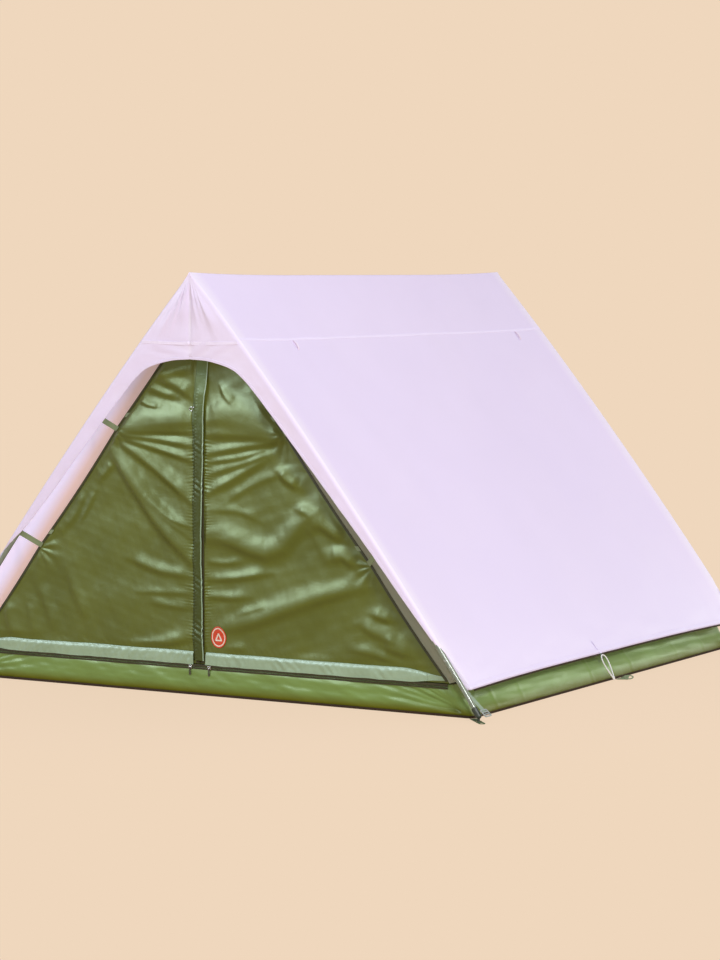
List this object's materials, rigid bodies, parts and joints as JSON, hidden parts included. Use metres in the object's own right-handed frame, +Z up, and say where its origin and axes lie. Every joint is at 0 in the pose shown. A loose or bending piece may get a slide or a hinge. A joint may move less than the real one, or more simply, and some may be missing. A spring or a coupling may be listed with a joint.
{
  "type": "a-frame tent",
  "caption": "Low two-person A-frame ridge tent: corded tube frame, hung inner tent with bathtub floor and T-zip door, separate fly sheet with arched gables",
  "frame": {"origin": "centre of the floor, on the ground", "axes": "+Z up; the door faces -Y; +X is on the right as one faces the door; the ridge runs along Y"},
  "size_m": [2.12, 2.1418, 1.3403],
  "materials": {
    "fly": "lavender coated polyester, satin",
    "inner": "olive coated nylon, glossy",
    "flap": "light green coated nylon, glossy",
    "floor": "leaf green coated groundsheet, semi-gloss",
    "webbing": "dark green woven webbing, matt",
    "zip": "dark brown zip tape and coil",
    "tube": "pale anodised tube",
    "plastic": "dark grey moulded plastic",
    "plated": "nickel plate",
    "elastic": "white braided elastic cord"
  },
  "bodies": {
    "frame_and_inner": {"apex_hub_front": "plastic", "apex_hub_rear": "plastic", "bathtub_floor": "floor", "bottom_zip_tape": "zip", "corner_strap_front_left": "webbing", "corner_strap_front_right": "webbing", "corner_strap_rear_left": "webbing", "corner_strap_rear_right": "webbing", "edge_tape_front_left": "webbing", "edge_tape_front_right": "webbing", "edge_tape_rear_left": "webbing", "edge_tape_rear_right": "webbing", "eyelet_front_left": "plated", "eyelet_front_right": "plated", "eyelet_rear_left": "plated", "eyelet_rear_right": "plated", "inner_front_panel": "inner", "inner_rear_panel": "inner", "inner_ridge_tape": "webbing", "inner_side_left": "inner", "inner_side_right": "inner", "leg_cord_front": "elastic", "leg_cord_rear": "elastic", "leg_lower_front_left": "tube", "leg_lower_front_right": "tube", "leg_lower_rear_left": "tube", "leg_lower_rear_right": "tube", "leg_upper_front_left": "tube", "leg_upper_front_right": "tube", "leg_upper_rear_left": "tube", "leg_upper_rear_right": "tube", "pole_foot_front_left": "plastic", "pole_foot_front_right": "plastic", "pole_foot_rear_left": "plastic", "pole_foot_rear_right": "plastic", "ridge_cord": "elastic", "ridge_pole_front": "tube", "ridge_pole_middle": "tube", "ridge_pole_rear": "tube"},
    "door_left": {"door_left": "inner", "zip_tape_left": "zip"},
    "door_right": {"door_right": "inner", "zip_tape_right": "zip"},
    "storm_flap": {"storm_flap": "inner"},
    "bottom_flap_left": {"bottom_flap_left": "flap"},
    "bottom_flap_right": {"bottom_flap_right": "flap"},
    "zip_slider_door": {"zip_slider_door": "plated"},
    "zip_pull_door": {"zip_pull_door": "plated"},
    "zip_slider_left": {"zip_slider_left": "plated"},
    "zip_slider_right": {"zip_slider_right": "plated"},
    "zip_pull_left": {"zip_pull_left": "plated"},
    "zip_pull_right": {"zip_pull_right": "plated"},
    "fly": {"fly_roof_left": "fly", "fly_roof_right": "fly", "fly_front_gable": "fly", "fly_rear_gable": "fly"},
    "side_cord_left": {"side_cord_left": "elastic"},
    "side_cord_right": {"side_cord_right": "elastic"},
    "side_peg_tab_left": {"side_peg_tab_left": "webbing"},
    "side_peg_tab_right": {"side_peg_tab_right": "webbing"}
  },
  "joints": [
    {"name": "door_left_swing", "type": "hinge", "parent": "frame_and_inner", "child": "door_left", "pos_m": [-0.44, -0.988, 0.5275], "axis": [-0.7172, 0, -0.6968], "range_deg": [0, 90]},
    {"name": "door_right_swing", "type": "hinge", "parent": "frame_and_inner", "child": "door_right", "pos_m": [0.44, -0.988, 0.5275], "axis": [0.7172, 0, -0.6968], "range_deg": [0, 90]},
    {"name": "storm_flap_fold", "type": "hinge", "parent": "door_left", "child": "storm_flap", "pos_m": [-0.0205, -0.9961, 0.5185], "axis": [0, 0, -1], "range_deg": [0, 90]},
    {"name": "bottom_flap_left_lift", "type": "hinge", "parent": "door_left", "child": "bottom_flap_left", "pos_m": [-0.43, -0.9916, 0.138], "axis": [-1, 0, 0], "range_deg": [0, 110]},
    {"name": "bottom_flap_right_lift", "type": "hinge", "parent": "door_right", "child": "bottom_flap_right", "pos_m": [0.43, -0.9916, 0.138], "axis": [-1, 0, 0], "range_deg": [0, 110]},
    {"name": "zip_slider_door_run", "type": "slide", "parent": "door_left", "child": "zip_slider_door", "axis": [0, 0, -1], "range_m": [0, 0.76]},
    {"name": "zip_pull_door_flip", "type": "hinge", "parent": "zip_slider_door", "child": "zip_pull_door", "pos_m": [-0.029, -0.9926, 0.918], "axis": [-1, 0, 0], "range_deg": [0, 120]},
    {"name": "zip_slider_left_run", "type": "slide", "parent": "frame_and_inner", "child": "zip_slider_left", "axis": [-1, 0, 0], "range_m": [0, 0.8]},
    {"name": "zip_slider_right_run", "type": "slide", "parent": "frame_and_inner", "child": "zip_slider_right", "axis": [1, 0, 0], "range_m": [0, 0.8]},
    {"name": "zip_pull_left_flip", "type": "hinge", "parent": "zip_slider_left", "child": "zip_pull_left", "pos_m": [-0.036, -0.9952, 0.0905], "axis": [-1, 0, 0], "range_deg": [0, 150]},
    {"name": "zip_pull_right_flip", "type": "hinge", "parent": "zip_slider_right", "child": "zip_pull_right", "pos_m": [0.036, -0.9952, 0.0905], "axis": [-1, 0, 0], "range_deg": [0, 150]},
    {"name": "fly_lift_off", "type": "slide", "parent": "frame_and_inner", "child": "fly", "axis": [0, 0, 1], "range_m": [0, 1.3]},
    {"name": "side_cord_left_swing", "type": "hinge", "parent": "fly", "child": "side_cord_left", "pos_m": [-0.957, -0.035, 0.085], "axis": [0, 1, 0], "range_deg": [0, 80]},
    {"name": "side_cord_right_swing", "type": "hinge", "parent": "fly", "child": "side_cord_right", "pos_m": [0.957, -0.035, 0.085], "axis": [0, -1, 0], "range_deg": [0, 80]},
    {"name": "side_peg_tab_left_lift", "type": "hinge", "parent": "frame_and_inner", "child": "side_peg_tab_left", "pos_m": [-0.982, 0.015, 0.0012], "axis": [0, 1, 0], "range_deg": [0, 90]},
    {"name": "side_peg_tab_right_lift", "type": "hinge", "parent": "frame_and_inner", "child": "side_peg_tab_right", "pos_m": [0.982, 0.015, 0.0012], "axis": [0, -1, 0], "range_deg": [0, 90]}
  ]
}
